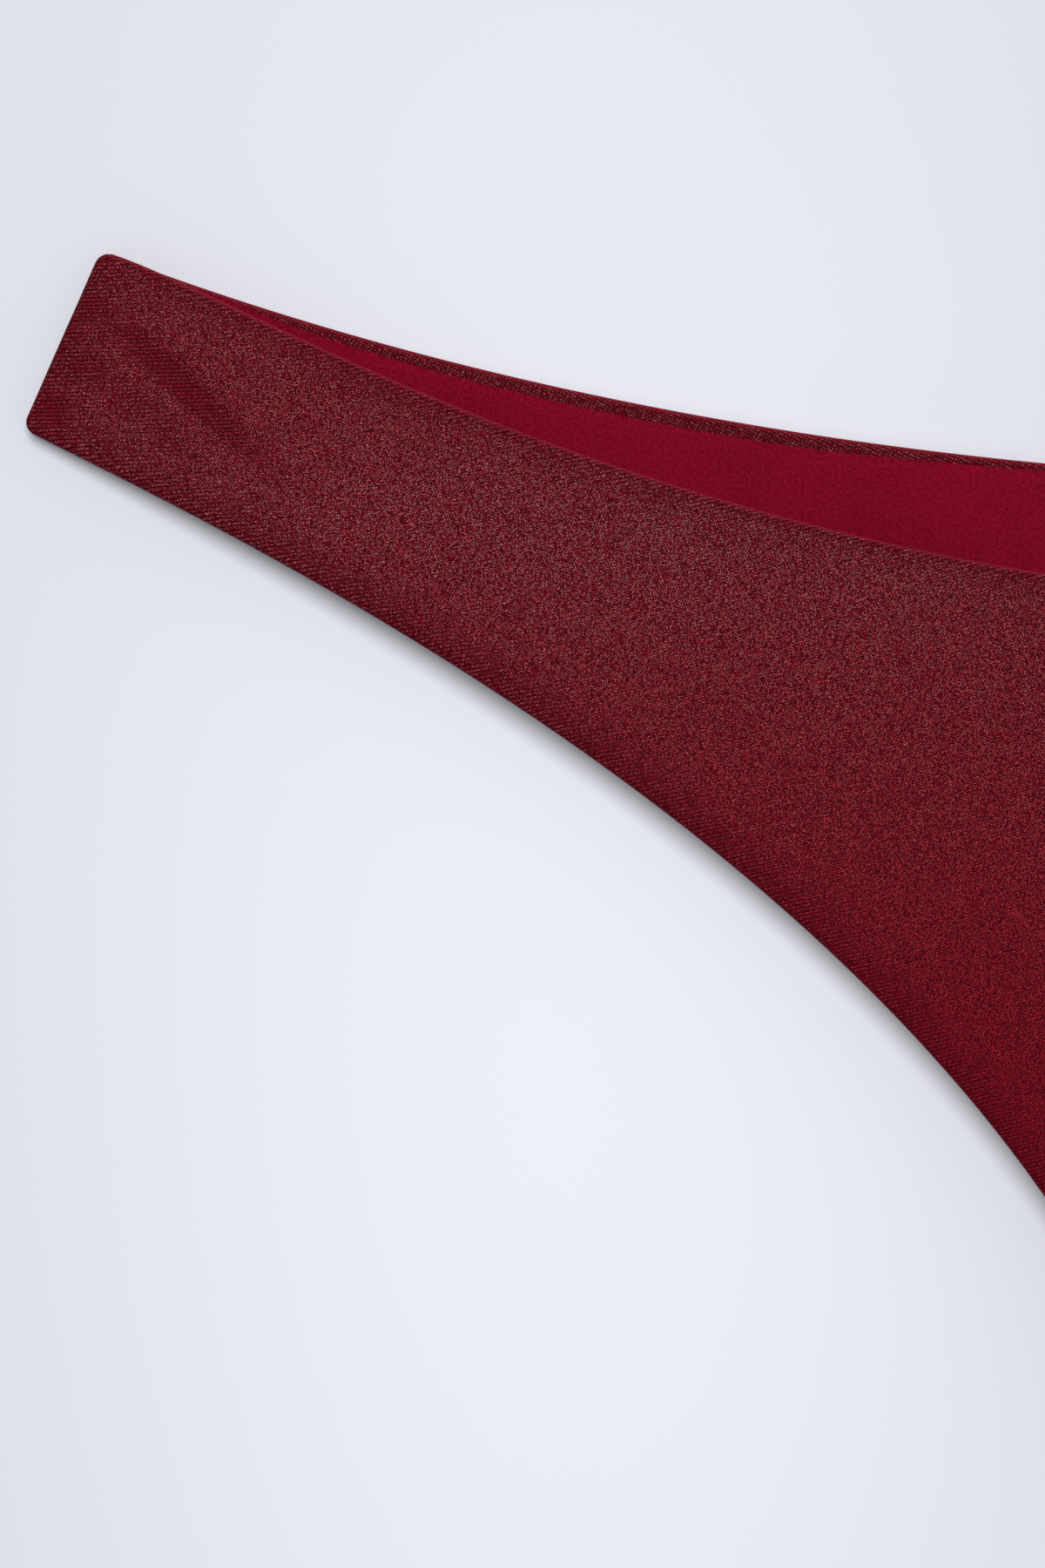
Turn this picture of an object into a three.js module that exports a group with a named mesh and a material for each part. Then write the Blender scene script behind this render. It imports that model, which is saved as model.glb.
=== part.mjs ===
// Low-rise bikini bottom, laid flat with its front up and its back on the surface.
// Each panel is an outer shell whose edge is rolled over and turned in all round,
// a lining sewn just inside that edge, and flat elastic caught in the turned-in hem.
// Units are millimetres. +X runs along the width, +Y towards the waist, +Z up,
// with the origin under the middle of the garment, on the surface it lies on.

import * as THREE from 'three';

// ---- driving dimensions: outline, laid flat ----
const lowerSideWidth = 338.9;      // between the two lower side corners
const sideLean = 9;                // an upper side corner, inwards of the lower one
const sideDrop = 20.4;             // from an upper side corner down to the lower one
const totalRise = 191.2;           // from the crotch fold up to the upper side corners
const frontWaistDip = 41.3;        // front waist at the centre, below the upper side corners
const backWaistDip = 26.8;         // back waist at the centre, below the upper side corners
const crotchWidth = 66;            // along the crotch fold
const narrowWidth = 62;            // narrowest place between the leg edges
const narrowRise = 19.6;           // narrowest place, above the crotch fold

// ---- how the edges curve: handle lengths of the edge curves and their angles ----
const frontWaistReach = [15.4, 91.8];   // at the side corner, at the centre
const frontWaistSlope = 14.2;           // degrees below level at the side corner
const backWaistReach = [69, 30];
const backWaistSlope = 20.9;
const frontLegReach = [31, 86];         // at the side corner, at the narrowest place
const backLegReach = [31, 98];          // a longer pull, so the back leg edge lies inside
const legSlope = 27;
const crotchFlareReach = 6;

// ---- driving dimensions: cloth, elastic and how high the garment lies ----
const shellThickness = 0.5;
const liningThickness = 0.35;
const gussetThickness = 0.35;
const elasticThickness = 0.3;
const elasticWidth = 6;
const overlockThickness = 0.5;
const overlockWidth = 3;
const layerGap = 0.33;             // air between one layer and the next
const liningGap = 0.42;            // air between the turned-in hem and the lining
const liningReveal = 1.7;          // turned-in shell that shows beside the lining
const gussetFrontRise = 80;        // gusset, from the crotch fold up the front
const gussetBackRise = 62;         // gusset, from the crotch fold up the back
const gussetOverlap = 1.5;         // the gusset's side edges, inside the lining's edge
const bodyLoft = 6.2;              // extra height of the front in the middle of the body
const sideEase = 30;               // how soon that height is reached from a side fold
const crotchEase = 18;             // how soon it is reached from the crotch fold
const labelWidth = 12;
const labelLength = 24;
const labelThickness = 0.25;

// ---- facets ----
const legSteps = 17;
const crotchSteps = 6;
const sideSteps = 6;
const rollSteps = 3;
const bendSteps = 4;
const panelRows = 7;
const fanLead = 0.75;              // how far the columns lean over towards the crotch
const crotchCrowding = 1.5;        // how much closer rows and columns stand at the crotch

// ---- sizes that follow from those above ----
const rollRadius = (shellThickness + elasticThickness + 2 * layerGap) / 2;
const rollDepth = shellThickness / 2 + rollRadius;
const elasticDepth = shellThickness + 2 * layerGap;
const elasticEndDepth = elasticDepth + 2 * layerGap;
const hemWidth = elasticDepth + elasticWidth + 2 * layerGap;
const foldHeight = 4 * rollRadius + shellThickness + layerGap;
const liningOffset = 2 * rollRadius + shellThickness / 2 + liningGap + liningThickness / 2;
const gussetOffset = liningOffset + liningThickness / 2 + layerGap + gussetThickness / 2;
const liningFace = liningOffset + liningThickness / 2;
const liningFoldDepth = hemWidth + 4 * layerGap;
const backHeight = shellThickness / 2;
const lowerSideX = lowerSideWidth / 2;
const upperSideX = lowerSideX - sideLean;
const upperY = totalRise / 2;
const crotchY = -totalRise / 2;
const waistSteps = 2 * legSteps + crotchSteps;

// ---- cloth and trim finishes ----
const finish = (color, roughness) => new THREE.MeshStandardMaterial({ color, roughness, metalness: 0 });
const shellCloth = finish(0x652129, 0.62);
const liningCloth = finish(0x8a0b2a, 0.85);
const gussetCloth = finish(0x860c2b, 0.88);
const elasticRubber = finish(0xd9d4cc, 0.7);
const overlockThread = finish(0x7c1029, 0.8);
const labelSatin = finish(0xf1efec, 0.45);

// ---- outline of a panel: six sides, run anticlockwise ----
const flip = (points) => points.map(([x, y]) => [-x, y]);
const back = (points) => [...points].reverse();

function direction(degrees) {
  const angle = THREE.MathUtils.degToRad(degrees);
  return [Math.cos(angle), Math.sin(angle)];
}

function path(...pieces) {
  const run = new THREE.CurvePath();
  for (const piece of pieces) {
    const points = piece.map(([x, y]) => new THREE.Vector2(x, y));
    run.add(points.length === 2 ? new THREE.LineCurve(...points) : new THREE.CubicBezierCurve(...points));
  }
  return run;
}

function panelOutline(waistDip, waistReach, waistSlope, legReach) {
  const top = [-upperSideX, upperY];
  const bottom = [-lowerSideX, upperY - sideDrop];
  const narrow = [-narrowWidth / 2, crotchY + narrowRise];
  const crotch = [-crotchWidth / 2, crotchY];
  const centre = [0, upperY - waistDip];
  const [waistX, waistY] = direction(-waistSlope);
  const [legX, legY] = direction(-legSlope);
  const waist = [
    top,
    [top[0] + waistReach[0] * waistX, top[1] + waistReach[0] * waistY],
    [-waistReach[1], centre[1]],
    centre,
  ];
  const leg = [
    bottom,
    [bottom[0] + legReach[0] * legX, bottom[1] + legReach[0] * legY],
    [narrow[0], narrow[1] + legReach[1]],
    narrow,
  ];
  const flare = [
    narrow,
    [narrow[0], narrow[1] - crotchFlareReach],
    [(narrow[0] + crotch[0]) / 2, crotch[1] + crotchFlareReach],
    crotch,
  ];
  const sides = [
    path([top, bottom]),
    path(leg, flare),
    path([crotch, ...flip([crotch])]),
    path(back(flip(flare)), back(flip(leg))),
    path(back(flip([top, bottom]))),
    path(flip(waist), back(waist)),
  ];
  const kinds = ['side', 'hem', 'crotch', 'hem', 'side', 'hem'];
  const corners = sides.map((side, k) => {
    const before = sides[(k + sides.length - 1) % sides.length].getTangent(1);
    const after = side.getTangent(0);
    return Math.PI - Math.acos(before.dot(after));
  });
  return { sides, kinds, corners };
}

// A point at fraction f of a side, moved inwards by that side's depth. The run is cut back
// at both corners by where the neighbouring side's own inset line crosses it.
function insetPoint(outline, k, f, depth) {
  const count = outline.sides.length;
  const own = depth[outline.kinds[k]];
  const cut = (corner, neighbour) => (depth[neighbour] + own * Math.cos(corner)) / Math.sin(corner);
  const startCut = cut(outline.corners[k], outline.kinds[(k + count - 1) % count]);
  const endCut = cut(outline.corners[(k + 1) % count], outline.kinds[(k + 1) % count]);
  const side = outline.sides[k];
  const length = side.getLength();
  const run = startCut + (length - startCut - endCut) * f;
  const onCurve = THREE.MathUtils.clamp(run, 0, length);
  const t = side.getTangent(onCurve / length);
  const p = side.getPoint(onCurve / length).addScaledVector(t, run - onCurve);
  return new THREE.Vector2(p.x - t.y * own, p.y + t.x * own);
}

// Columns stand closer together along the leg as they near the crotch, and so do the rows.
const legFraction = (step) => 1 - (1 - step / legSteps) ** crotchCrowding;
const rowFraction = (row) => (row / panelRows) ** crotchCrowding;

// Waist fraction of each column: level with the leg edge at the side, then leaning inwards.
function waistFraction(column) {
  const lean = (f) => fanLead * (1 - (1 - f) ** 2) + (1 - fanLead) * f;
  const legShare = 0.5 * (1 - crotchSteps / waistSteps / 2);
  if (column <= legSteps) return legShare * lean(legFraction(column));
  if (column >= waistSteps - legSteps) return 1 - legShare * lean(legFraction(waistSteps - column));
  return legShare + (1 - 2 * legShare) * (column - legSteps) / crotchSteps;
}

const evenDepth = (depth) => ({ hem: depth, side: depth, crotch: depth });

function lowerEdge(outline, depth) {
  const edge = [];
  for (let i = 0; i <= legSteps; i++) edge.push(insetPoint(outline, 1, legFraction(i), depth));
  for (let i = 1; i < crotchSteps; i++) edge.push(insetPoint(outline, 2, i / crotchSteps, depth));
  for (let i = legSteps; i >= 0; i--) edge.push(insetPoint(outline, 3, 1 - legFraction(i), depth));
  return edge;
}

function waistEdge(outline, depth) {
  const edge = [];
  for (let i = 0; i <= waistSteps; i++) edge.push(insetPoint(outline, 5, 1 - waistFraction(i), depth));
  return edge;
}

// ---- how high the garment lies ----
const sideTop = new THREE.Vector2(upperSideX, upperY);
const sideRun = new THREE.Vector2(sideLean, -sideDrop);
const sideLine = sideRun.clone().normalize();

function bodyHeight(x, y) {
  const fromSide = sideLine.y * (Math.abs(x) - sideTop.x) - sideLine.x * (y - sideTop.y);
  const fromCrotch = y - crotchY;
  const rise = (distance, ease) => 1 - Math.exp(-Math.max(distance, 0) / ease);
  return foldHeight + bodyLoft * rise(fromSide, sideEase) * rise(fromCrotch, crotchEase);
}

// Depth from a fold at which the body is high enough for a piece of the given height.
function depthForHeight(height, ease) {
  return -ease * Math.log(1 - (height - foldHeight) / bodyLoft);
}

const frontPanel = {
  outline: panelOutline(frontWaistDip, frontWaistReach, frontWaistSlope, frontLegReach),
  height: (x, y) => backHeight + bodyHeight(x, y),
  inward: -1,
};
const backPanel = {
  outline: panelOutline(backWaistDip, backWaistReach, backWaistSlope, backLegReach),
  height: () => backHeight,
  inward: 1,
};

// A place on a panel, a given way in from its middle surface towards the inside of the garment.
function onPanel(panel, flat, offset) {
  return new THREE.Vector3(flat.x, flat.y, panel.height(flat.x, flat.y) + panel.inward * offset);
}

// ---- solids from sheets ----
// Gives a sheet of four-sided cells its thickness: each point moves half of it along its normal
// to one face and half to the other, and every open edge gets a wall.
function thickSheet(points, cells, thickness) {
  const count = points.length;
  const normals = points.map(() => new THREE.Vector3());
  for (const cell of cells) {
    const [a, b, c, d] = cell.map((k) => points[k]);
    const normal = c.clone().sub(a).cross(d.clone().sub(b));
    for (const k of cell) normals[k].add(normal);
  }
  const positions = [];
  for (const sign of [0.5, -0.5]) {
    points.forEach((p, k) => {
      const moved = p.clone().addScaledVector(normals[k].normalize(), sign * thickness);
      positions.push(moved.x, moved.y, moved.z);
    });
  }
  const index = [];
  const edges = new Set();
  for (const [a, b, c, d] of cells) {
    index.push(a, b, c, a, c, d);
    index.push(count + a, count + c, count + b, count + a, count + d, count + c);
    for (const [from, to] of [[a, b], [b, c], [c, d], [d, a]]) edges.add(`${from},${to}`);
  }
  for (const edge of edges) {
    const [from, to] = edge.split(',').map(Number);
    if (edges.has(`${to},${from}`)) continue;
    index.push(to, from, count + from, to, count + from, count + to);
  }
  const geometry = new THREE.BufferGeometry();
  geometry.setAttribute('position', new THREE.Float32BufferAttribute(positions, 3));
  geometry.setIndex(index);
  return geometry;
}

// A sheet given as rows of points, all of one length.
function rowsToSheet(rows, thickness) {
  const width = rows[0].length;
  const cells = [];
  for (let j = 0; j + 1 < rows.length; j++) {
    for (let i = 0; i + 1 < width; i++) {
      const k = j * width + i;
      cells.push([k, k + 1, k + 1 + width, k + width]);
    }
  }
  return thickSheet(rows.flat(), cells, thickness);
}

const group = new THREE.Group();

function addPiece(name, geometry, material) {
  const mesh = new THREE.Mesh(geometry, material);
  mesh.name = name;
  group.add(mesh);
  return mesh;
}

// ---- outer shells: the panel, its edge rolled over, and the turned-in hem ----
function shellSheet(panel) {
  const { outline } = panel;
  const faceDepth = evenDepth(rollDepth);
  const lower = lowerEdge(outline, faceDepth);
  const waist = waistEdge(outline, faceDepth);
  const points = [];
  for (let j = 0; j <= panelRows; j++) {
    for (let i = 0; i <= waistSteps; i++) {
      points.push(onPanel(panel, lower[i].clone().lerp(waist[i], rowFraction(j)), 0));
    }
  }
  const at = (i, j) => j * (waistSteps + 1) + i;
  const cells = [];
  for (let j = 0; j < panelRows; j++) {
    for (let i = 0; i < waistSteps; i++) {
      cells.push([at(i, j), at(i + 1, j), at(i + 1, j + 1), at(i, j + 1)]);
    }
  }
  const rim = [];
  const places = [];
  const place = (i, j, k, f) => {
    rim.push(at(i, j));
    places.push([k, f]);
  };
  for (let j = panelRows; j > 0; j--) place(0, j, 0, 1 - rowFraction(j));
  for (let i = 0; i < legSteps; i++) place(i, 0, 1, legFraction(i));
  for (let i = 0; i < crotchSteps; i++) place(legSteps + i, 0, 2, i / crotchSteps);
  for (let i = legSteps; i > 0; i--) place(waistSteps - i, 0, 3, 1 - legFraction(i));
  for (let j = 0; j < panelRows; j++) place(waistSteps, j, 4, rowFraction(j));
  for (let i = waistSteps; i > 0; i--) place(i, panelRows, 5, 1 - waistFraction(i));
  const rings = [];
  for (let step = 1; step <= rollSteps; step++) {
    const turn = Math.PI * step / rollSteps;
    rings.push([rollDepth - rollRadius * Math.sin(turn), rollRadius * (1 - Math.cos(turn))]);
  }
  for (const share of [0.4, 1]) rings.push([rollDepth + share * (hemWidth - rollDepth), 2 * rollRadius]);
  let previous = rim;
  for (const [depth, offset] of rings) {
    const start = points.length;
    for (const [k, f] of places) {
      points.push(onPanel(panel, insetPoint(outline, k, f, evenDepth(depth)), offset));
    }
    const ring = places.map((_, n) => start + n);
    ring.forEach((here, n) => {
      const next = (n + 1) % ring.length;
      cells.push([here, ring[next], previous[next], previous[n]]);
    });
    previous = ring;
  }
  return thickSheet(points, cells, shellThickness);
}

addPiece('front_shell', shellSheet(frontPanel), shellCloth);
addPiece('back_shell', shellSheet(backPanel), shellCloth);

// ---- linings: cut back from the edge, and stopped where the side and crotch allowances end ----
function liningSheet(panel) {
  const depth = { hem: liningReveal, side: liningFoldDepth, crotch: liningFoldDepth };
  const lower = lowerEdge(panel.outline, depth);
  const waist = waistEdge(panel.outline, depth);
  const rows = [];
  for (let j = 0; j <= panelRows; j++) {
    rows.push(lower.map((p, i) => onPanel(panel, p.clone().lerp(waist[i], rowFraction(j)), liningOffset)));
  }
  return rowsToSheet(rows, liningThickness);
}

addPiece('front_lining', liningSheet(frontPanel), liningCloth);
addPiece('back_lining', liningSheet(backPanel), liningCloth);

// ---- gusset: one strip of lining that runs up the front and the back from the crotch ----
const gussetBendHeight = 2 * (gussetOffset + gussetThickness + layerGap);
const gussetStart = depthForHeight(gussetBendHeight, crotchEase) + 2 * layerGap;

// Half the width between the leg edges' inset lines at a height above the crotch fold.
function halfWidthAt(outline, rise, depth) {
  let high = 0;
  let low = 1;
  for (let n = 0; n < 30; n++) {
    const middle = (high + low) / 2;
    if (insetPoint(outline, 1, middle, evenDepth(depth)).y > crotchY + rise) high = middle;
    else low = middle;
  }
  return -insetPoint(outline, 1, low, evenDepth(depth)).x;
}

function gussetRow(panel, rise) {
  const half = halfWidthAt(panel.outline, rise, liningReveal + gussetOverlap);
  const row = [];
  for (let i = 0; i <= crotchSteps; i++) {
    const x = half * (2 * i / crotchSteps - 1);
    row.push(onPanel(panel, new THREE.Vector2(x, crotchY + rise), gussetOffset));
  }
  return row;
}

function gussetSheet() {
  const lengthSteps = 5;
  const front = [];
  const rear = [];
  for (let j = 0; j <= lengthSteps; j++) {
    const f = (j / lengthSteps) ** crotchCrowding;
    front.push(gussetRow(frontPanel, THREE.MathUtils.lerp(gussetStart, gussetFrontRise, f)));
    rear.push(gussetRow(backPanel, THREE.MathUtils.lerp(gussetStart, gussetBackRise, f)));
  }
  const bend = [];
  for (let step = 1; step < bendSteps; step++) {
    const turn = Math.PI * step / bendSteps;
    bend.push(front[0].map((upper, i) => {
      const lower = rear[0][i];
      const radius = (upper.z - lower.z) / 2;
      const x = THREE.MathUtils.lerp(upper.x, lower.x, step / bendSteps);
      const y = upper.y - radius * Math.sin(turn);
      return new THREE.Vector3(x, y, lower.z + radius * (1 + Math.cos(turn)));
    }));
  }
  return rowsToSheet([...back(front), ...bend, ...rear], gussetThickness);
}

addPiece('gusset_lining', gussetSheet(), gussetCloth);

// ---- elastics: flat strips that lie in the hem, between the shell and its turned-in edge ----
function elasticStrip(panel, k, fractions) {
  const outer = { hem: elasticDepth, side: elasticEndDepth, crotch: elasticEndDepth };
  const inner = { ...outer, hem: elasticDepth + elasticWidth };
  const row = (depth) => fractions.map((f) => {
    return onPanel(panel, insetPoint(panel.outline, k, f, depth), rollRadius);
  });
  return rowsToSheet([row(outer), row(inner)], elasticThickness);
}

const waistFractions = Array.from({ length: waistSteps + 1 }, (_, i) => waistFraction(i));
const rightLegFractions = Array.from({ length: legSteps + 1 }, (_, i) => legFraction(i));
const leftLegFractions = back(rightLegFractions.map((f) => 1 - f));
for (const [side, panel] of [['front', frontPanel], ['back', backPanel]]) {
  addPiece(`${side}_waist_elastic`, elasticStrip(panel, 5, waistFractions), elasticRubber);
  addPiece(`${side}_leg_elastic_right`, elasticStrip(panel, 1, rightLegFractions), elasticRubber);
  addPiece(`${side}_leg_elastic_left`, elasticStrip(panel, 3, leftLegFractions), elasticRubber);
}

// ---- overlocks: the thread bundles that hold the front's allowances to the back's ----
const allowanceFace = 2 * rollRadius + shellThickness / 2;
const overlockRoom = 2 * allowanceFace + overlockThickness + 2 * layerGap;

function overlockStrip(k, ease, steps) {
  const start = depthForHeight(overlockRoom, ease);
  const row = (depth) => {
    const points = [];
    for (let i = 0; i <= steps; i++) {
      const flat = insetPoint(backPanel.outline, k, i / steps, { ...evenDepth(depth), hem: elasticDepth });
      const middle = backHeight + bodyHeight(flat.x, flat.y) / 2;
      points.push(new THREE.Vector3(flat.x, flat.y, middle));
    }
    return points;
  };
  const rows = [row(start), row(start + overlockWidth / 2), row(start + overlockWidth)];
  return rowsToSheet(rows, overlockThickness);
}

addPiece('side_overlock_right', overlockStrip(0, sideEase, sideSteps), overlockThread);
addPiece('side_overlock_left', overlockStrip(4, sideEase, sideSteps), overlockThread);
addPiece('crotch_overlock', overlockStrip(2, crotchEase, crotchSteps), overlockThread);

// ---- care label: a blank satin tab sewn into the wearer's left side seam ----
const labelRoom = 2 * liningFace + labelThickness + 2 * layerGap;
const labelDepth = depthForHeight(labelRoom, sideEase);
const labelReach = labelDepth + labelLength / 2;
const sideMiddle = sideTop.clone().addScaledVector(sideRun, 0.5);
const labelTab = new THREE.BoxGeometry(labelLength, labelWidth, labelThickness);
const label = addPiece('care_label', labelTab, labelSatin);
label.position.set(
  sideMiddle.x + sideLine.y * labelReach,
  sideMiddle.y - sideLine.x * labelReach,
  backHeight + liningFace + layerGap + labelThickness / 2,
);
label.rotation.z = Math.atan2(-sideLine.x, sideLine.y);

export default group;
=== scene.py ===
import math

import bpy
import numpy as np
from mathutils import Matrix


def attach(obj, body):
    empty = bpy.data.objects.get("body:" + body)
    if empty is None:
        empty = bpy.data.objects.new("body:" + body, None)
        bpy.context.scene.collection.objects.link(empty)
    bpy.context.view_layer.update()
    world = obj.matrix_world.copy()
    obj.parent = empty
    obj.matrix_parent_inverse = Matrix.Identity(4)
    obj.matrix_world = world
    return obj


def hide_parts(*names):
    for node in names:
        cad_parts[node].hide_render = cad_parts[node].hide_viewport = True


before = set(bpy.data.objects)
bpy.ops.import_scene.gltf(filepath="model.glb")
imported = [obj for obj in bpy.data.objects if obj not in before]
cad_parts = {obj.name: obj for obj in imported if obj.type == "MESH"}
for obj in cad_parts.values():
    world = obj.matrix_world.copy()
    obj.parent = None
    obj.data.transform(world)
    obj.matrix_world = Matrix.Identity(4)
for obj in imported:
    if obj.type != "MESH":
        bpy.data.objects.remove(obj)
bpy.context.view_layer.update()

MM = 0.001

# ---------------------------------------------------------------------------------------
# Camera: straight above the wearer's right half, with the waist towards the top.
# A long lens keeps the layers of the garment in line with each other.
# ---------------------------------------------------------------------------------------
view_centre = (-0.112, 0.0344)
view_height = 0.180
lens = 400.0
sensor = 36.0
framed_level = 0.003

camera_data = bpy.data.cameras.new("camera")
camera_data.lens = lens
camera_data.sensor_width = sensor
camera_data.clip_end = 50.0
camera = bpy.data.objects.new("camera", camera_data)
camera.location = (view_centre[0], view_centre[1], framed_level + view_height * lens / sensor)
bpy.context.collection.objects.link(camera)
bpy.context.scene.camera = camera

# ---------------------------------------------------------------------------------------
# Outer shells: a front and a back panel of wine-red stretch rib knit with a fine metallic
# shimmer, its glints painted highlights. Each panel's edge is rolled over and turned in all round,
# and the back's turned-in strip shows inside the waist. Lengths are millimetres until they go into a
# mesh.
# ---------------------------------------------------------------------------------------
lower_side_width = 338.9
side_lean = 9.0
side_drop = 20.4
total_rise = 191.2
front_waist_dip = 41.3
back_waist_dip = 26.8
crotch_width = 66.0
narrow_width = 62.0
narrow_rise = 19.6

shell_thickness = 0.5
elastic_thickness = 0.3
elastic_width = 6.0
layer_gap = 0.33
body_loft = 6.2
side_ease = 30.0
crotch_ease = 18.0

roll_radius = (shell_thickness + elastic_thickness + 2 * layer_gap) / 2
roll_depth = shell_thickness / 2 + roll_radius
elastic_depth = shell_thickness + 2 * layer_gap
hem_width = elastic_depth + elastic_width + 2 * layer_gap
fold_height = 4 * roll_radius + shell_thickness + layer_gap
back_level = shell_thickness / 2
upper_y = total_rise / 2
crotch_y = -total_rise / 2
upper_side_x = lower_side_width / 2 - side_lean
side_run = np.array([side_lean, -side_drop])
side_line = side_run / np.linalg.norm(side_run)
top_corner = np.array([-upper_side_x, upper_y])
leg_corner = np.array([-lower_side_width / 2, upper_y - side_drop])
crotch_corner = np.array([-crotch_width / 2, crotch_y])


def bezier(a, b, c, d, count=600):
    """A cubic Bezier curve: the four points weighted by the cubic Bernstein polynomials."""
    t = np.linspace(0, 1, count)[:, None]
    a, b, c, d = (np.array(point, float) for point in (a, b, c, d))
    return (1 - t) ** 3 * a + 3 * t * (1 - t) ** 2 * b + 3 * t ** 2 * (1 - t) * c + t ** 3 * d


def flipped(points):
    """The same points on the other side of the centre line, run the other way."""
    return points[::-1] * [-1, 1]


def joined(*runs):
    """Runs of points end to end, each shared point kept once."""
    return np.concatenate([runs[0]] + [run[1:] for run in runs[1:]])


def heading(degrees):
    """The unit vector at an angle to +X."""
    return np.array([math.cos(math.radians(degrees)), math.sin(math.radians(degrees))])


RIGHT_SIDE, RIGHT_LEG, CROTCH, LEFT_LEG, LEFT_SIDE, WAIST = range(6)
leg_slope = 27.0
flare_reach = 6.0
fold_points = 50


def panel_sides(waist_dip, waist_reach, waist_slope, leg_reach):
    """The six sides of a panel, run anticlockwise from the upper corner at -X: the waist and the
    leg edges are Bezier curves, the side and crotch folds straight."""
    narrow = np.array([-narrow_width / 2, crotch_y + narrow_rise])
    centre = np.array([0, upper_y - waist_dip])
    waist_start = top_corner + waist_reach[0] * heading(-waist_slope)
    waist = bezier(top_corner, waist_start, centre - [waist_reach[1], 0], centre)
    leg_start = leg_corner + leg_reach[0] * heading(-leg_slope)
    leg = bezier(leg_corner, leg_start, narrow + [0, leg_reach[1]], narrow)
    flare_end = [(narrow[0] + crotch_corner[0]) / 2, crotch_y + flare_reach]
    flare = bezier(narrow, narrow - [0, flare_reach], flare_end, crotch_corner)
    leg = joined(leg, flare)
    side = np.linspace(top_corner, leg_corner, fold_points)
    crotch_fold = np.linspace(crotch_corner, crotch_corner * [-1, 1], fold_points)
    whole_waist = joined(waist * [-1, 1], waist[::-1])
    return [side, leg, crotch_fold, flipped(leg), flipped(side), whole_waist]


class Panel:
    """One panel's outline, its height over the surface, and which way leads into the garment."""

    kinds = ("side", "hem", "crotch", "hem", "side", "hem")

    def __init__(self, sides, height, inward):
        self.height = height
        self.inward = inward
        self.runs = []
        for points in sides:
            steps = np.linalg.norm(np.diff(points, axis=0), axis=1)
            self.runs.append((points, np.concatenate([[0], np.cumsum(steps)])))
        heads = [points[1] - points[0] for points in sides]
        tails = [points[-1] - points[-2] for points in sides]
        self.corners = []
        for k in range(len(sides)):
            before = tails[k - 1] / np.linalg.norm(tails[k - 1])
            after = heads[k] / np.linalg.norm(heads[k])
            self.corners.append(math.pi - math.acos(float(before @ after)))

    def inset(self, k, fractions, depth):
        """Points along side k, moved inwards by its depth and cut back at both corners to where
        the neighbouring side's own inset line crosses it."""
        points, run = self.runs[k]
        count = len(self.runs)
        own = depth[self.kinds[k]]

        def cut(corner, neighbour):
            return (depth[self.kinds[neighbour]] + own * math.cos(corner)) / math.sin(corner)

        start = cut(self.corners[k], (k - 1) % count)
        end = cut(self.corners[(k + 1) % count], (k + 1) % count)
        place = start + (run[-1] - start - end) * np.asarray(fractions)
        inside = np.clip(place, 0, run[-1])
        x = np.interp(inside, run, points[:, 0])
        y = np.interp(inside, run, points[:, 1])
        slope = np.gradient(points, run, axis=0)
        slope_x = np.interp(inside, run, slope[:, 0])
        slope_y = np.interp(inside, run, slope[:, 1])
        tangent = np.stack([slope_x, slope_y], axis=1)
        tangent /= np.linalg.norm(tangent, axis=1)[:, None]
        normal = np.stack([-tangent[:, 1], tangent[:, 0]], axis=1)
        return np.stack([x, y], axis=1) + tangent * (place - inside)[:, None] + normal * own

    def on(self, flat, offset):
        """Puts flat places on the panel, the offset further into the garment than its middle surface."""
        level = self.height(flat[..., 0], flat[..., 1]) + self.inward * offset
        return np.concatenate([flat, level[..., None]], axis=-1)


def even(depth):
    """The same depth in from every side."""
    return {"hem": depth, "side": depth, "crotch": depth}


def from_side(x, y):
    """Distance in from the nearer side fold."""
    return side_line[1] * (np.abs(x) - upper_side_x) - side_line[0] * (y - upper_y)


def swell(x, y):
    """Front over back: the fold's own height, then rising to the full loft from each fold."""
    side = 1 - np.exp(-np.maximum(from_side(x, y), 0) / side_ease)
    crotch = 1 - np.exp(-np.maximum(y - crotch_y, 0) / crotch_ease)
    return fold_height + body_loft * side * crotch


def dent(x, y, centre, along, across, degrees):
    """A soft round dent of depth 1: a bell curve of the distance, stretched along one direction."""
    c, s = heading(degrees)
    u = (x - centre[0]) * c + (y - centre[1]) * s
    v = (y - centre[1]) * c - (x - centre[0]) * s
    return np.exp(-(u / along) ** 2 - (v / across) ** 2)


# Each crease: its depth, its centre at the left, its reach along and across, and its tilt.
upper_dimple = (0.55, (162.2, 89.2), 1.6, 1.6, 0)
lower_dimple = (0.60, (166.2, 77.4), 2.6, 1.8, 60)
puff_between = (-0.30, (163.4, 82.6), 3.0, 2.2, 0)
long_groove = (0.55, (151.0, 80.0), 9.5, 1.6, 44)
groove_bank = (-0.18, (154.5, 76.5), 9.0, 2.8, 44)
crease_shapes = (upper_dimple, lower_dimple, puff_between, long_groove, groove_bank)
left_crease_share = 0.85


def creases(x, y):
    """Depth of the creases where the seam allowance inside pulls on the cloth near the side folds:
    two dimples on the fold, a puff between them, and a groove that runs down across the panel."""
    total = 0
    for side, strength in ((-1, 1.0), (1, left_crease_share)):
        for depth, (out, up), along, across, degrees in crease_shapes:
            total = total + strength * depth * dent(x, y, (side * out, up), along, across, degrees * side)
    return total


ripple_height = 0.07
ripple_fade = 20.0


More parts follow.
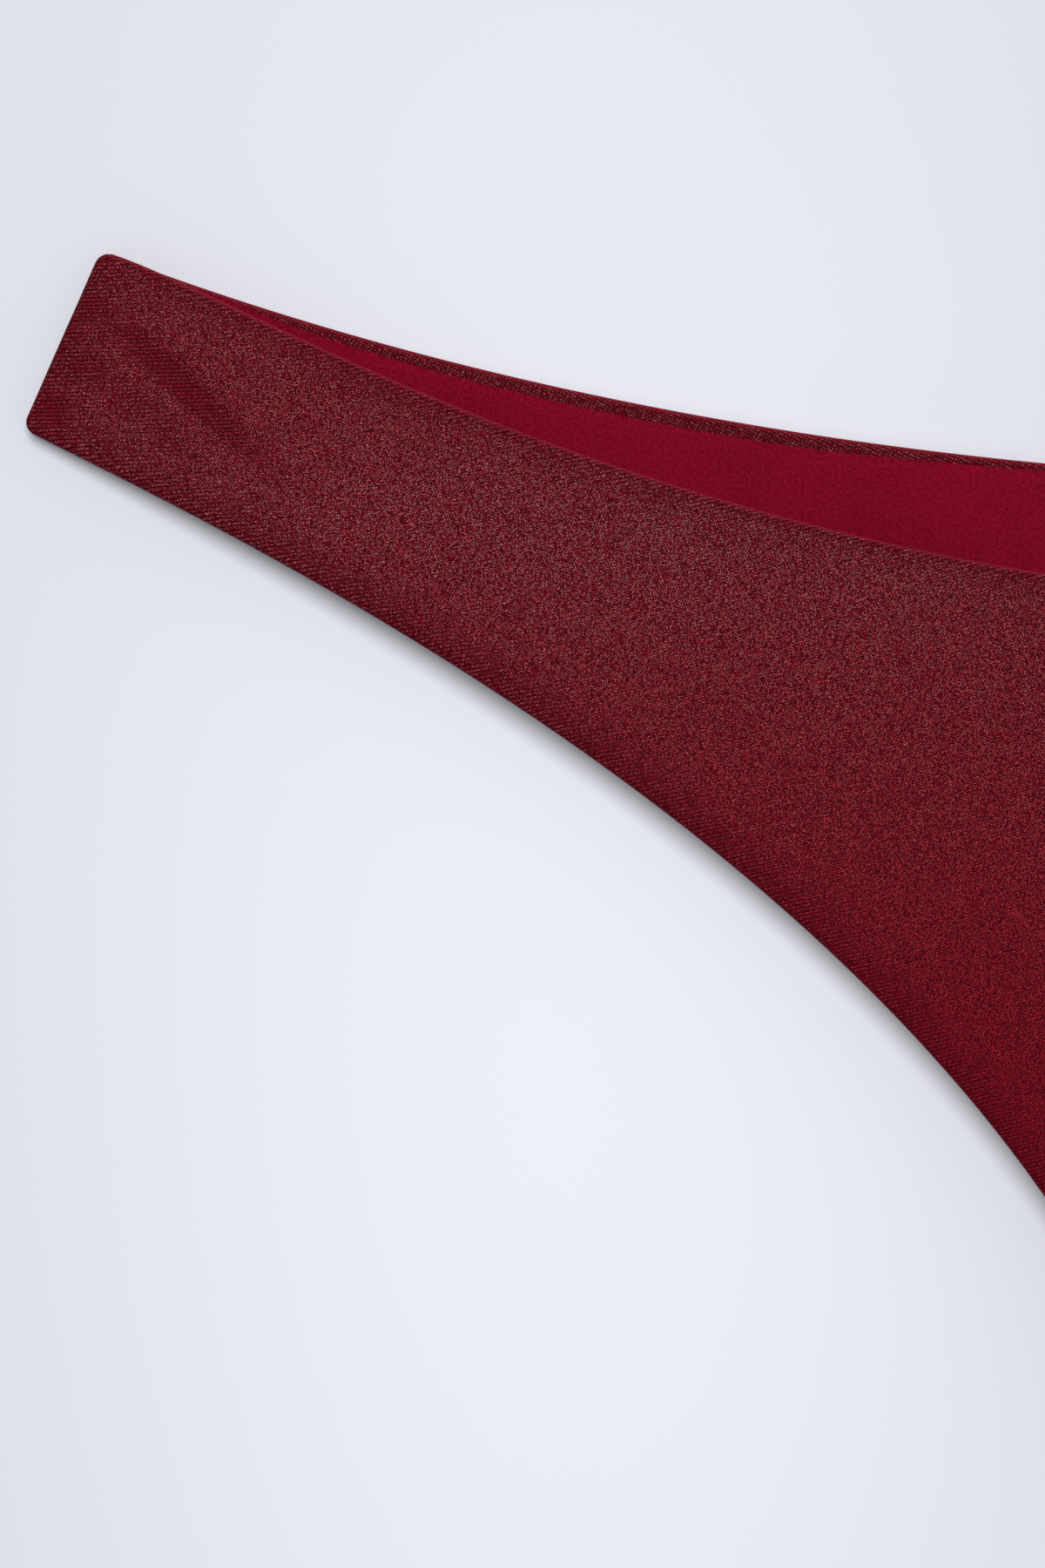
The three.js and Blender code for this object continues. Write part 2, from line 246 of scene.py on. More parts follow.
def ripples(x, y):
    """Slow unevenness of cloth at rest: two sine waves that cross, fading towards the side folds."""
    wave = np.sin(x / 13.0 + y / 21.0 + 0.7) + np.sin(x / 23.0 - y / 15.0 + 2.1)
    return ripple_height * wave * (1 - np.exp(-np.maximum(from_side(x, y), 0) / ripple_fade))


def front_level(x, y):
    """Height of the front's middle surface."""
    return back_level + swell(x, y) - creases(x, y) + ripples(x, y)


def flat_level(x, y):
    """Height of the back's middle surface, which lies flat."""
    return np.full_like(x, back_level)


front_waist_reach = (15.4, 91.8)
front_waist_slope = 14.2
front_leg_reach = (31.0, 86.0)
back_waist_reach = (69.0, 30.0)
back_waist_slope = 20.9
back_leg_reach = (31.0, 98.0)
front_sides = panel_sides(front_waist_dip, front_waist_reach, front_waist_slope, front_leg_reach)
back_sides = panel_sides(back_waist_dip, back_waist_reach, back_waist_slope, back_leg_reach)
front = Panel(front_sides, front_level, -1)
back = Panel(back_sides, flat_level, 1)

leg_steps = 150
crotch_steps = 36
panel_rows = 80
roll_steps = 10
hem_steps = 5
column_crowding = 1.25
row_crowding = 1.15
waist_share = 0.46
waist_lean = 0.75


def leg_fractions(steps):
    """Columns stand closer together near the side folds, where the cloth is creased."""
    return np.linspace(0, 1, steps + 1) ** column_crowding


def waist_fractions(steps, crotch):
    """Each column's place on the waist: level with the leg at the side, leaning in below. The
    leg's columns take up one share of the waist at each end, and the crotch's the middle."""
    f = leg_fractions(steps)
    lean = waist_share * (waist_lean * (1 - (1 - f) ** 2) + (1 - waist_lean) * f)
    middle = np.linspace(waist_share, 1 - waist_share, crotch + 1)[1:-1]
    return np.concatenate([lean, middle, (1 - lean)[::-1]])


def row_shares(rows):
    """Each row's share of the way from the leg edge to the waist."""
    return np.linspace(0, 1, rows + 1) ** row_crowding


def panel_grid(panel, depth, rows, steps, crotch):
    """A panel as rows of points from the leg and crotch edge up to the waist: shape (rows,
    columns, 2), each column a straight line."""
    f = leg_fractions(steps)
    lower = np.concatenate([
        panel.inset(RIGHT_LEG, f, depth)[:-1],
        panel.inset(CROTCH, np.linspace(0, 1, crotch + 1), depth),
        panel.inset(LEFT_LEG, (1 - f)[::-1], depth)[1:],
    ])
    waist = panel.inset(WAIST, 1 - waist_fractions(steps, crotch), depth)
    return lower + (waist - lower) * row_shares(rows)[:, None, None]


side_corner_round = 1.5
crotch_corner_round = 3.0
along_side = side_line * [-1, 1]
along_waist = heading(-17.0)
along_leg = heading(-29.0)
along_crotch = heading(0.0)
along_flare = heading(96.0)
corner_edges = (
    (top_corner, along_side, along_waist, side_corner_round),
    (leg_corner, along_leg, -along_side, side_corner_round),
    (crotch_corner, along_crotch, along_flare, crotch_corner_round),
)


def rounded(flat):
    """Rounds the corners of the outline: inside a corner's square, a point's larger depth from
    the two edges becomes its distance from the square's inner corner."""
    out = flat.copy()
    for corner, first, second, radius in corner_edges:
        for mirror in (1, -1):
            basis = np.stack([first * [mirror, 1], second * [mirror, 1]], axis=1)
            place = (out - corner * [mirror, 1]) @ np.linalg.inv(basis).T
            reach = radius - place
            largest = reach.max(axis=-1)
            length = np.linalg.norm(reach, axis=-1)
            near = (reach[..., 0] > 0) & (reach[..., 1] > 0)
            shrink = np.where(near, largest / np.maximum(length, 1e-9), 1)
            moved = radius - reach * shrink[..., None]
            out = np.where(near[..., None], corner * [mirror, 1] + moved @ basis.T, out)
    return out


middle_rib_angle = 15.0
rib_turn = 0.1706
rib_turn_reach = 173.9
upright_lean = 0.2126
rib_span = 200.0
rib_places = np.linspace(-rib_span, rib_span, 2001)
rib_distance = np.abs(rib_places)
rib_angle = middle_rib_angle + rib_turn * rib_places * rib_distance / (rib_distance + rib_turn_reach)
rib_rise = np.cumsum(np.tan(np.radians(rib_angle))) * (rib_places[1] - rib_places[0])


def cloth_coordinates(flat):
    """Places in the knit, in millimetres: along a rib, and across the ribs. The ribs climb
    towards the left side seam: almost level at the right one, and steeper and steeper to the
    left, as the cut cloth is stretched round the hips."""
    along = flat[..., 0] + upright_lean * flat[..., 1]
    across = flat[..., 1] - np.interp(flat[..., 0], rib_places, rib_rise)
    return np.stack([along, across], axis=-1)


def grid_cells(rows, columns):
    """Four-sided cells of a grid of points, as point numbers, anticlockwise."""
    k = np.arange((rows - 1) * columns).reshape(rows - 1, columns)[:, :-1].reshape(-1)
    return np.stack([k, k + 1, k + 1 + columns, k + columns], axis=1)


def thicken(points, cells, thickness):
    """Gives a sheet of cells its thickness: every point moves half of it along its normal to
    each face, and each open edge gets a wall. Returns points and cells of the closed solid."""
    corner = points[cells]
    normal = np.cross(corner[:, 2] - corner[:, 0], corner[:, 3] - corner[:, 1])
    summed = np.zeros_like(points)
    for n in range(4):
        np.add.at(summed, cells[:, n], normal)
    summed /= np.linalg.norm(summed, axis=1)[:, None]
    count = len(points)
    solid = np.concatenate([points + summed * thickness / 2, points - summed * thickness / 2])
    edges = np.concatenate([cells[:, [n, (n + 1) % 4]] for n in range(4)])
    key = edges[:, 0] * count + edges[:, 1]
    opposite = edges[:, 1] * count + edges[:, 0]
    rim = edges[~np.isin(key, opposite)]
    walls = np.stack([rim[:, 1], rim[:, 0], rim[:, 0] + count, rim[:, 1] + count], axis=1)
    return solid, np.concatenate([cells, cells[:, ::-1] + count, walls])


def make_piece(name, points, cells, knit=None, strain_and_shine=None):
    """A mesh object from points in millimetres and cells, with the knit coordinates as its UV map
    and the strain of the cloth, with the waist fold's painted highlight, as a vector at each point."""
    mesh = bpy.data.meshes.new(name)
    mesh.vertices.add(len(points))
    mesh.vertices.foreach_set("co", (points * MM).astype(np.float32).ravel())
    mesh.loops.add(cells.size)
    mesh.loops.foreach_set("vertex_index", cells.astype(np.int32).ravel())
    mesh.polygons.add(len(cells))
    mesh.polygons.foreach_set("loop_start", np.arange(0, cells.size, cells.shape[1], dtype=np.int32))
    mesh.update(calc_edges=True)
    mesh.polygons.foreach_set("use_smooth", np.ones(len(cells), bool))
    if knit is not None:
        uv = mesh.uv_layers.new(name="knit")
        uv.uv.foreach_set("vector", knit[cells.ravel()].astype(np.float32).ravel())
    if strain_and_shine is not None:
        layer = mesh.attributes.new("strain_and_shine", "FLOAT_VECTOR", "POINT")
        layer.data.foreach_set("vector", strain_and_shine.astype(np.float32).ravel())
    piece = bpy.data.objects.new(name, mesh)
    bpy.context.collection.objects.link(piece)
    return piece


def cut_size(flat, cells):
    """Width, length and area in metres of a piece of cloth spread out flat."""
    span = np.ptp(flat.reshape(-1, 2), axis=0)
    corner = flat.reshape(-1, 2)[cells]
    one = corner[:, 2] - corner[:, 0]
    other = corner[:, 3] - corner[:, 1]
    area = np.abs(one[:, 0] * other[:, 1] - one[:, 1] * other[:, 0]).sum() / 2
    return (span[0] * MM, span[1] * MM), area * MM * MM


leg_pull_reach = 2.6
waist_pull_reach = 1.5
waist_pull = 0.65
side_pull_reach = 7.0
pull_curve = 1.5
column_slant = 0.9
groove_gain = 1.6
crease_pull = 4.5


def edge_strain(flat):
    """The strain at a panel's points: how far the ribs are pulled open, which is 1 at an edge and
    falls off by the distance from it; how deep in a crease; and the painted highlight of the
    stretched waist fold, which is 0 here."""
    run = np.linalg.norm(flat - flat[:1], axis=-1)
    x, y = flat[..., 0], flat[..., 1]
    to_waist = (run[-1] - run) * column_slant
    to_leg = run * column_slant
    to_side = np.maximum(from_side(x, y), 0)
    dip = creases(x, y)
    groove = np.clip(dip * groove_gain, 0, 1)
    pulled = np.exp(-(to_leg / leg_pull_reach) ** pull_curve)
    pulled = np.maximum(pulled, waist_pull * np.exp(-(to_waist / waist_pull_reach) ** pull_curve))
    pulled = np.maximum(pulled, np.exp(-to_side / side_pull_reach))
    pulled = np.maximum(pulled, np.clip(np.abs(dip) * crease_pull, 0, 1))
    return np.stack([pulled, groove, np.zeros_like(x)], axis=-1)


def shell_piece(name, panel):
    """A panel with its edge rolled over and turned in: the grid of the panel, then rings round it
    that turn half a circle and run on inside to the width of the hem."""
    flat = panel_grid(panel, even(roll_depth), panel_rows, leg_steps, crotch_steps)
    rows, columns = flat.shape[:2]
    number = np.arange(rows * columns).reshape(rows, columns)
    rim = np.concatenate([number[:0:-1, 0], number[0, :-1], number[:-1, -1], number[-1, :0:-1]])
    share = row_shares(panel_rows)
    f = leg_fractions(leg_steps)
    waist_f = waist_fractions(leg_steps, crotch_steps)
    places = (
        (RIGHT_SIDE, 1 - share[:0:-1]),
        (RIGHT_LEG, f[:-1]),
        (CROTCH, np.linspace(0, 1, crotch_steps + 1)[:-1]),
        (LEFT_LEG, (1 - f)[::-1][:-1]),
        (LEFT_SIDE, share[:-1]),
        (WAIST, 1 - waist_f[:0:-1]),
    )
    rings = []
    for turn in np.pi * np.arange(1, roll_steps + 1) / roll_steps:
        depth = roll_depth - roll_radius * math.sin(turn)
        rings.append((depth, roll_radius * (1 - math.cos(turn)), roll_radius * turn))
    for share_in in np.linspace(0, 1, hem_steps + 1)[1:]:
        run = share_in * (hem_width - roll_depth)
        rings.append((roll_depth + run, 2 * roll_radius, roll_radius * math.pi + run))
    points = [panel.on(rounded(flat.reshape(-1, 2)), 0)]
    spread = [flat.reshape(-1, 2)]
    cells = [grid_cells(rows, columns)]
    strain_and_shine = [edge_strain(flat).reshape(-1, 3)]
    ring_strain = np.zeros((len(rim), 3))
    ring_strain[:, 0] = 1
    ring_strain[:, 2] = np.concatenate([np.full(len(f), float(k == WAIST)) for k, f in places])
    previous = rim
    start = rows * columns
    for depth, offset, unrolled in rings:
        ring = np.concatenate([panel.inset(k, f, even(depth)) for k, f in places])
        outside = np.concatenate([panel.inset(k, f, even(roll_depth - unrolled)) for k, f in places])
        points.append(panel.on(rounded(ring), offset))
        spread.append(outside)
        # Painted highlight of the waist fold: strongest half way round the roll, on the waist's rings
        # only.
        shine = math.sin(min(unrolled / roll_radius, math.pi)) ** 4
        strain_and_shine.append(ring_strain * [1, 1, shine])
        here = start + np.arange(len(rim))
        cells.append(np.stack([here, np.roll(here, -1), np.roll(previous, -1), previous], axis=1))
        previous = here
        start += len(rim)
    points, spread, cells, strain_and_shine = (np.concatenate(part) for part in (points, spread, cells, strain_and_shine))
    solid, faces = thicken(points, cells, shell_thickness)
    knit = cloth_coordinates(np.tile(spread, (2, 1)))
    piece = make_piece(name, solid, faces, knit, np.tile(strain_and_shine, (2, 1)))
    return piece, cut_size(spread, cells)


class Wire:
    """A number carried between nodes. Arithmetic on it adds one Math node for each step."""

    def __init__(self, tree, socket):
        self.tree = tree
        self.socket = socket

    def math(self, operation, *others):
        """One Math node on this number and any others."""
        return self.tree.node("ShaderNodeMath", {"operation": operation}, [self, *others])

    def __add__(self, other):
        return self.math("ADD", other)

    def __sub__(self, other):
        return self.math("SUBTRACT", other)

    def __rsub__(self, other):
        return self.tree.node("ShaderNodeMath", {"operation": "SUBTRACT"}, [other, self])

    def __mul__(self, other):
        return self.math("MULTIPLY", other)

    def __truediv__(self, other):
        return self.math("DIVIDE", other)

    def __mod__(self, other):
        return self.math("FLOORED_MODULO", other)

    def __gt__(self, other):
        return self.math("GREATER_THAN", other)

    def __lt__(self, other):
        return self.math("LESS_THAN", other)

    def __pow__(self, other):
        return self.math("POWER", other)

    __radd__ = __add__
    __rmul__ = __mul__


class Finish:
    """A material, and the one method that adds a node to it."""

    def __init__(self, name):
        self.material = bpy.data.materials.new(name)
        self.material.use_nodes = True
        self.nodes = self.material.node_tree.nodes
        self.links = self.material.node_tree.links
        self.nodes.clear()

    def node(self, kind, settings=None, values=(), output=0):
        """Adds a node: its settings first, then its sockets' values or links, by order or by name."""
        node = self.nodes.new(kind)
        for key, value in (settings or {}).items():
            setattr(node, key, value)
        named = values.items() if isinstance(values, dict) else enumerate(values)
        for key, value in named:
            socket = node.inputs[key]
            if isinstance(value, Wire):
                self.links.new(value.socket, socket)
            elif value is not None:
                socket.default_value = value
        return Wire(self, node.outputs[output]) if len(node.outputs) else None

    def mix(self, factor, first, second):
        """One colour turning into another."""
        settings = {"data_type": "RGBA", "clamp_factor": True}
        colors = [wire if isinstance(wire, Wire) else (*wire, 1) for wire in (first, second)]
        values = {0: factor, 6: colors[0], 7: colors[1]}
        return self.node("ShaderNodeMix", settings, values, output=2)

    def split(self, vector):
        """The three parts of a vector."""
        first = self.node("ShaderNodeSeparateXYZ", {}, [vector])
        return [Wire(self, output) for output in first.socket.node.outputs]

    def surface(self, **values):
        """The closing shader. Names use _ for the spaces in the sockets' names."""
        named = {key.replace("_", " "): value for key, value in values.items()}
        shader = self.node("ShaderNodeBsdfPrincipled", {}, named)
        self.node("ShaderNodeOutputMaterial", {}, {"Surface": shader})
        return self.material


rib_pitch = 0.45
rib_height = 0.0001
stitch_width = 0.303
filament_pitch = 0.085
# Painted shade: each stitch is painted darker from its middle to its gap, and the rib valleys darker,
# more so where the cloth is pulled; the valleys also shape the bump.
dome_falloff = 0.75
valley_at_rest = 0.2
valley_when_pulled = 0.62
# Painted highlights: where each stitch's painted glint sits, and how the painted sheen grows paler over
# the hip and fades again at the waist.
spark_jitter = 0.7
spark_reach = 0.64
crimson_draw = 0.5
spark_draw = 0.56
pale_draw = 0.74
painted_sheen_rise = (-0.008, 0.062)
painted_sheen_curve = 1.7
waist_fade = (0.064, 0.080)
painted_sheen_at_waist = (0.72, 0.56)
slow_scale = 55.0
wine_thread = (0.072, 0.0026, 0.0050)
# Painted shade in the stitch gaps and rib valleys.
gap_shade = (0.018, 0.0003, 0.0020)
crimson_thread = (0.262, 0.0060, 0.0190)
# Crimson threads of the stretched waist fold, with a painted highlight.
fold_thread_highlight = (0.900, 0.0500, 0.0980)
# Painted glints: crimson towards the crotch, pale over the hip.
crimson_painted_glint = (0.450, 0.0120, 0.0330)
pale_painted_glint = (0.510, 0.2750, 0.2700)


def shell_finish():
    """Brick rows of stitches, two rows to a rib, with a valley between ribs that opens where
    the cloth is strained and is painted darker as shade. Each stitch is a little dome of fine
    filaments, wine or crimson by their own draws, painted lighter in its middle and shaded towards
    its gap. A patch of each stitch, put off its middle by chance, gets a painted glint on nearly half
    its filaments: a painted highlight, pale over the hip, where the light's reflection is strongest,
    and crimson towards the crotch and in the creases. The waist fold's threads are crimson with a
    painted highlight."""
    cloth = Finish("rib_knit_with_painted_sheen")
    along, across, _ = cloth.split(cloth.node("ShaderNodeUVMap", {"uv_map": "knit"}))
    attribute = cloth.node("ShaderNodeAttribute", {"attribute_name": "strain_and_shine"}, output=1)
    pulled, groove, fold_shine = cloth.split(attribute)
    row_place = across / (rib_pitch / 2)
    row = row_place.math("FLOOR")
    column_place = along / stitch_width + (row % 2.0) * 0.5
    column = column_place.math("FLOOR")
    beside = (column_place - column - 0.5) * 2.0
    above = (row_place - row - 0.5) * 2.0
    lit = (1.0 - (beside * beside + above * above) * dome_falloff).math("MAXIMUM", 0.0)
    one = (along / filament_pitch).math("FLOOR")
    other = (across / filament_pitch).math("FLOOR")
    cell = cloth.node("ShaderNodeCombineXYZ", {}, [one, other, 0.0])
    stitch = cloth.node("ShaderNodeCombineXYZ", {}, [column, row, 0.0])
    flat_noise = {"noise_dimensions": "2D"}
    draw = cloth.node("ShaderNodeTexWhiteNoise", flat_noise, {"Vector": cell})
    chance = cloth.node("ShaderNodeTexWhiteNoise", flat_noise, {"Vector": stitch}, output=1)
    shift, lean, _ = cloth.split(chance)
    off_side = (beside - (shift - 0.5) * spark_jitter).math("ABSOLUTE")
    off_level = (above - (lean - 0.5) * spark_jitter).math("ABSOLUTE")
    patch = (off_side < spark_reach) * (off_level < spark_reach)
    place = cloth.node("ShaderNodeTexCoord", output=3)
    slow = cloth.node("ShaderNodeTexNoise", {}, {"Vector": place, "Scale": slow_scale, "Detail": 2.0})
    _, rise, _ = cloth.split(place)
    painted_sheen_height = cloth.node("ShaderNodeMapRange", {}, [rise, *painted_sheen_rise, 0.0, 1.0]) ** painted_sheen_curve
    painted_sheen_height = painted_sheen_height * cloth.node("ShaderNodeMapRange", {}, [rise, *waist_fade, *painted_sheen_at_waist])
    rib = (across * (2 * math.pi / rib_pitch)).math("COSINE") * 0.5 + 0.5
    crest = 1.0 - (1.0 - rib) * (pulled * valley_when_pulled + valley_at_rest)
    # More crimson where the cloth is pulled, and in the creases, where the painted sheen is taken out as
    # shade.
    crimson_share = (draw > crimson_draw) * 0.6 + groove * 0.12 + pulled * 0.22
    thread = cloth.mix(crimson_share, wine_thread, crimson_thread)
    # Painted highlight: the waist fold's threads turn to the bright fold colour.
    thread = cloth.mix(fold_shine * 0.9, thread, fold_thread_highlight)
    # Painted shade: the threads darken to the gap colour away from each stitch's lit middle and in the
    # rib valleys.
    body = cloth.mix((lit ** 0.6) * crest, gap_shade, thread)
    # Painted sheen: the glints turn pale over the hip, less so in the creases and none on the waist fold.
    painted_sheen = painted_sheen_height * (0.85 + slow * 0.3) * (1.0 - groove * 0.6) * (1.0 - fold_shine)
    painted_glint_color = cloth.mix(painted_sheen * (draw > pale_draw), crimson_painted_glint, pale_painted_glint)
    # Painted glints on the rib crests, fewer in the creases, where the cloth turns away from the light.
    painted_glint = patch * (draw > spark_draw) * crest * crest * (1.0 - groove * 0.45)
    color = cloth.mix(painted_glint, body, painted_glint_color)
    relief = lit * 0.3 + crest * 0.7
    bump = cloth.node("ShaderNodeBump", {}, {"Strength": 0.5, "Distance": rib_height, "Height": relief})
    return cloth.surface(
        Base_Color=color,
        Roughness=0.7 - painted_glint * 0.2,
        Specular_IOR_Level=0.02,
        Normal=bump,
    )


shell_cloth = shell_finish()
front_shell, front_cut = shell_piece("front_panel_shell", front)
back_shell, back_cut = shell_piece("back_panel_shell", back)
for piece, node, (flat_size, area), under in (
    (front_shell, "front_shell", front_cut, "back_shell"),
    (back_shell, "back_shell", back_cut, "floor"),
):
    piece.data.materials.append(shell_cloth)
    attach(piece, "root")
    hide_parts(node)

# ---------------------------------------------------------------------------------------
# Linings: fine matte tricot in crimson, one inside each panel, sewn down just in from the
# rolled edge and stopped at the side and crotch allowances, which they cover.
# ---------------------------------------------------------------------------------------
lining_thickness = 0.35
lining_gap = 0.42
lining_reveal = 1.7
lining_offset = 2 * roll_radius + shell_thickness / 2 + lining_gap + lining_thickness / 2
lining_face = lining_offset + lining_thickness / 2
lining_fold_depth = hem_width + 4 * layer_gap
lining_rows = 60
lining_press = 0.30
lining_press_width = 0.9
widest_reveal = 1.8
narrowest_reveal = 0.35
reveal_close_x = 150.0
reveal_close_run = 14.0
drift_start = -88.0
drift_length = 80.0
drift_height = 0.45


def reveal_drift(x):
    """How far the lining's edge strays from its even reveal along the waist: it nears the fold
    towards each side seam, exponentially, and drifts in a cosine wave across the middle."""
    inside = np.maximum(reveal_close_x - np.abs(x), 0)
    widest = widest_reveal * (1 - np.exp(-inside / reveal_close_run))
    wave = drift_height * (1 - np.cos(2 * np.pi * (x - drift_start) / drift_length))
    return np.maximum(widest - np.where(x > drift_start, wave, 0), narrowest_reveal) - lining_reveal


def lining_piece(name, panel):
    """Columns run straight from the leg edge to the waist edge, both set in from the outline. The
    cloth dips to the turned-in hem along these two edges, by a bell curve of the distance."""
    depth = {"hem": lining_reveal, "side": lining_fold_depth, "crotch": lining_fold_depth}
    deeper = {"hem": lining_reveal + 1, "side": lining_fold_depth, "crotch": lining_fold_depth}
    first = panel_grid(panel, depth, 1, leg_steps, crotch_steps)
    second = panel_grid(panel, deeper, 1, leg_steps, crotch_steps)
    lower, waist = first
    waist = waist + (second[1] - waist) * reveal_drift(waist[:, :1])
    share = (0.5 - 0.5 * np.cos(np.pi * np.linspace(0, 1, lining_rows + 1)))[:, None, None]
    flat = lower + (waist - lower) * share
    length = np.linalg.norm(waist - lower, axis=-1)
    nearest = np.minimum(share[..., 0], 1 - share[..., 0]) * length
    press = lining_press * np.exp(-(nearest / lining_press_width) ** 2)
    rows, columns = flat.shape[:2]
    points = panel.on(flat, lining_offset - press).reshape(-1, 3)
    cells = grid_cells(rows, columns)
    solid, faces = thicken(points, cells, lining_thickness)
    spread = flat.reshape(-1, 2)
    piece = make_piece(name, solid, faces, np.tile(spread, (2, 1)))
    return piece, cut_size(spread, cells)


wale_pitch = 0.26
course_pitch = 0.21
loop_height = 0.00004
zigzag = 0.035
cloud_scale = 90.0
fibre_scale = 2600.0
lining_light = (0.262, 0.0046, 0.0215)
lining_dark = (0.098, 0.0018, 0.0078)


def lining_finish(name, light_thread, dark_thread):
    """Tricot: fine upright wales with a slight zigzag from course to course, and small uneven
    loops, low in contrast."""
    cloth = Finish(name)
    along, across, _ = cloth.split(cloth.node("ShaderNodeUVMap", {"uv_map": "knit"}))
    course = (across * (2 * math.pi / course_pitch)).math("SINE")
    wale = ((along + course * zigzag) * (2 * math.pi / wale_pitch)).math("COSINE")
    loop = wale * 0.3 + course * 0.12 + 0.5
    spot = cloth.node("ShaderNodeTexCoord", output=3)
    cloudy = cloth.node("ShaderNodeTexNoise", {}, {"Vector": spot, "Scale": cloud_scale, "Detail": 2.0})
    fine = cloth.node("ShaderNodeTexNoise", {}, {"Vector": spot, "Scale": fibre_scale, "Detail": 1.0})
    factor = loop * 0.55 + (cloudy - 0.5) * 0.3 + (fine - 0.5) * 1.3 + 0.225
    color = cloth.mix(factor, dark_thread, light_thread)
    bump = cloth.node("ShaderNodeBump", {}, {"Strength": 0.3, "Distance": loop_height, "Height": loop})
    return cloth.surface(Base_Color=color, Roughness=0.9, Specular_IOR_Level=0.01, Normal=bump)


lining_cloth = lining_finish("crimson_tricot", lining_light, lining_dark)
front_lining, front_lining_cut = lining_piece("front_panel_lining", front)
back_lining, back_lining_cut = lining_piece("back_panel_lining", back)
for piece, node, (flat_size, area), under in (
    (front_lining, "front_lining", front_lining_cut, front_shell.name),
    (back_lining, "back_lining", back_lining_cut, back_shell.name),
):
    piece.data.materials.append(lining_cloth)
    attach(piece, "root")
    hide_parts(node)

# ---------------------------------------------------------------------------------------
# Gusset: a second layer of tricot over the linings, sewn to them along its edges. It is one
# strip that comes down the front, turns under at the crotch fold and goes up the back.
# ---------------------------------------------------------------------------------------
gusset_thickness = 0.35
gusset_front_rise = 80.0
gusset_back_rise = 62.0
gusset_overlap = 1.5
gusset_light = (0.205, 0.0042, 0.0180)
gusset_dark = (0.122, 0.0024, 0.0100)
gusset_columns = 40
gusset_rows = 50
bend_steps = 12
edge_points = 800
row_spread = 1.3
gusset_offset = lining_face + layer_gap + gusset_thickness / 2


def rise_for_room(room, ease):
    """How far in from a fold the front stands off the back by this much, the swell's formula solved."""
    return -ease * math.log(1 - (room - fold_height) / body_loft)


def gusset_half(panel, rises):
    """Rows of flat places at these heights over the crotch, out to just inside the lining's edge."""
    edge = panel.inset(RIGHT_LEG, np.linspace(0, 1, edge_points), even(lining_reveal + gusset_overlap))
    half = -np.interp(crotch_y + rises, edge[::-1, 1], edge[::-1, 0])
    x = half[:, None] * np.linspace(-1, 1, gusset_columns + 1)
    y = np.repeat((crotch_y + rises)[:, None], gusset_columns + 1, axis=1)
    return np.stack([x, y], axis=-1)


gusset_room = 2 * (gusset_offset + gusset_thickness + layer_gap)
gusset_start = rise_for_room(gusset_room, crotch_ease) + 2 * layer_gap
steps = np.linspace(0, 1, gusset_rows + 1) ** row_spread
front_half = gusset_half(front, gusset_start + (gusset_front_rise - gusset_start) * steps)
back_half = gusset_half(back, gusset_start + (gusset_back_rise - gusset_start) * steps)
front_rows = front.on(front_half, gusset_offset)
back_rows = back.on(back_half, gusset_offset)
bend = (np.arange(1, bend_steps) / bend_steps)[:, None]
upper, lower = front_rows[0], back_rows[0]
bend_radius = (upper[:, 2] - lower[:, 2]) / 2
bend_rows = np.stack([
    upper[:, 0] * (1 - bend) + lower[:, 0] * bend,
    upper[:, 1] - bend_radius * np.sin(np.pi * bend),
    lower[:, 2] + bend_radius * (1 + np.cos(np.pi * bend)),
], axis=-1)
gusset_points = np.concatenate([front_rows[::-1], bend_rows, back_rows])
rows, columns = gusset_points.shape[:2]
steps_down = np.linalg.norm(np.diff(gusset_points[:, columns // 2], axis=0), axis=1)
run_down = np.concatenate([[0], np.cumsum(steps_down)])
gusset_flat = np.stack([gusset_points[..., 0], np.repeat(-run_down[:, None], columns, axis=1)], axis=-1)
gusset_cells = grid_cells(rows, columns)
solid, faces = thicken(gusset_points.reshape(-1, 3), gusset_cells, gusset_thickness)
spread = gusset_flat.reshape(-1, 2)
gusset = make_piece("crotch_gusset", solid, faces, np.tile(spread, (2, 1)))
gusset_cut, gusset_area = cut_size(spread, gusset_cells)
gusset.data.materials.append(lining_finish("gusset_tricot", gusset_light, gusset_dark))
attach(gusset, "root")
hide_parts("gusset_lining")

# ---------------------------------------------------------------------------------------
# Elastics: flat knitted rubber strips, cream, that lie loose in the turned-in hem along the
# waist and both leg edges of each panel. They are tapes, too narrow to be declared as sheets.
# ---------------------------------------------------------------------------------------
elastic_end_depth = elastic_depth + 2 * layer_gap
elastic_columns = 260
elastic_rows = 12
cord_count = 6
cord_relief = 0.03
knot_pitch = 0.8
ridge_height = 0.0001
rubber_shade = (0.45, 0.42, 0.37)
rubber_light = (0.72, 0.69, 0.63)


def elastic_piece(name, panel, k, fractions):
    """A strip between two insets of one side. Its height waves along the strip's width, one wave
    to each rubber cord in it."""
    outer = {"hem": elastic_depth, "side": elastic_end_depth, "crotch": elastic_end_depth}
    inner = {**outer, "hem": elastic_depth + elastic_width}
    first = panel.inset(k, fractions, outer)
    last = panel.inset(k, fractions, inner)
    share = np.linspace(0, 1, elastic_rows + 1)[:, None, None]
    flat = first + (last - first) * share
    wave = cord_relief * np.cos(2 * np.pi * cord_count * share[..., 0])
    points = panel.on(flat, roll_radius + wave).reshape(-1, 3)
    rows, columns = flat.shape[:2]
    cells = grid_cells(rows, columns)
    solid, faces = thicken(points, cells, elastic_thickness - 2 * cord_relief)
    run = np.concatenate([[0], np.cumsum(np.linalg.norm(np.diff(first, axis=0), axis=1))])
    spread = np.stack(np.broadcast_arrays(run[None, :], share[..., 0] * elastic_width), axis=-1)
    return make_piece(name, solid, faces, np.tile(spread.reshape(-1, 2), (2, 1)))


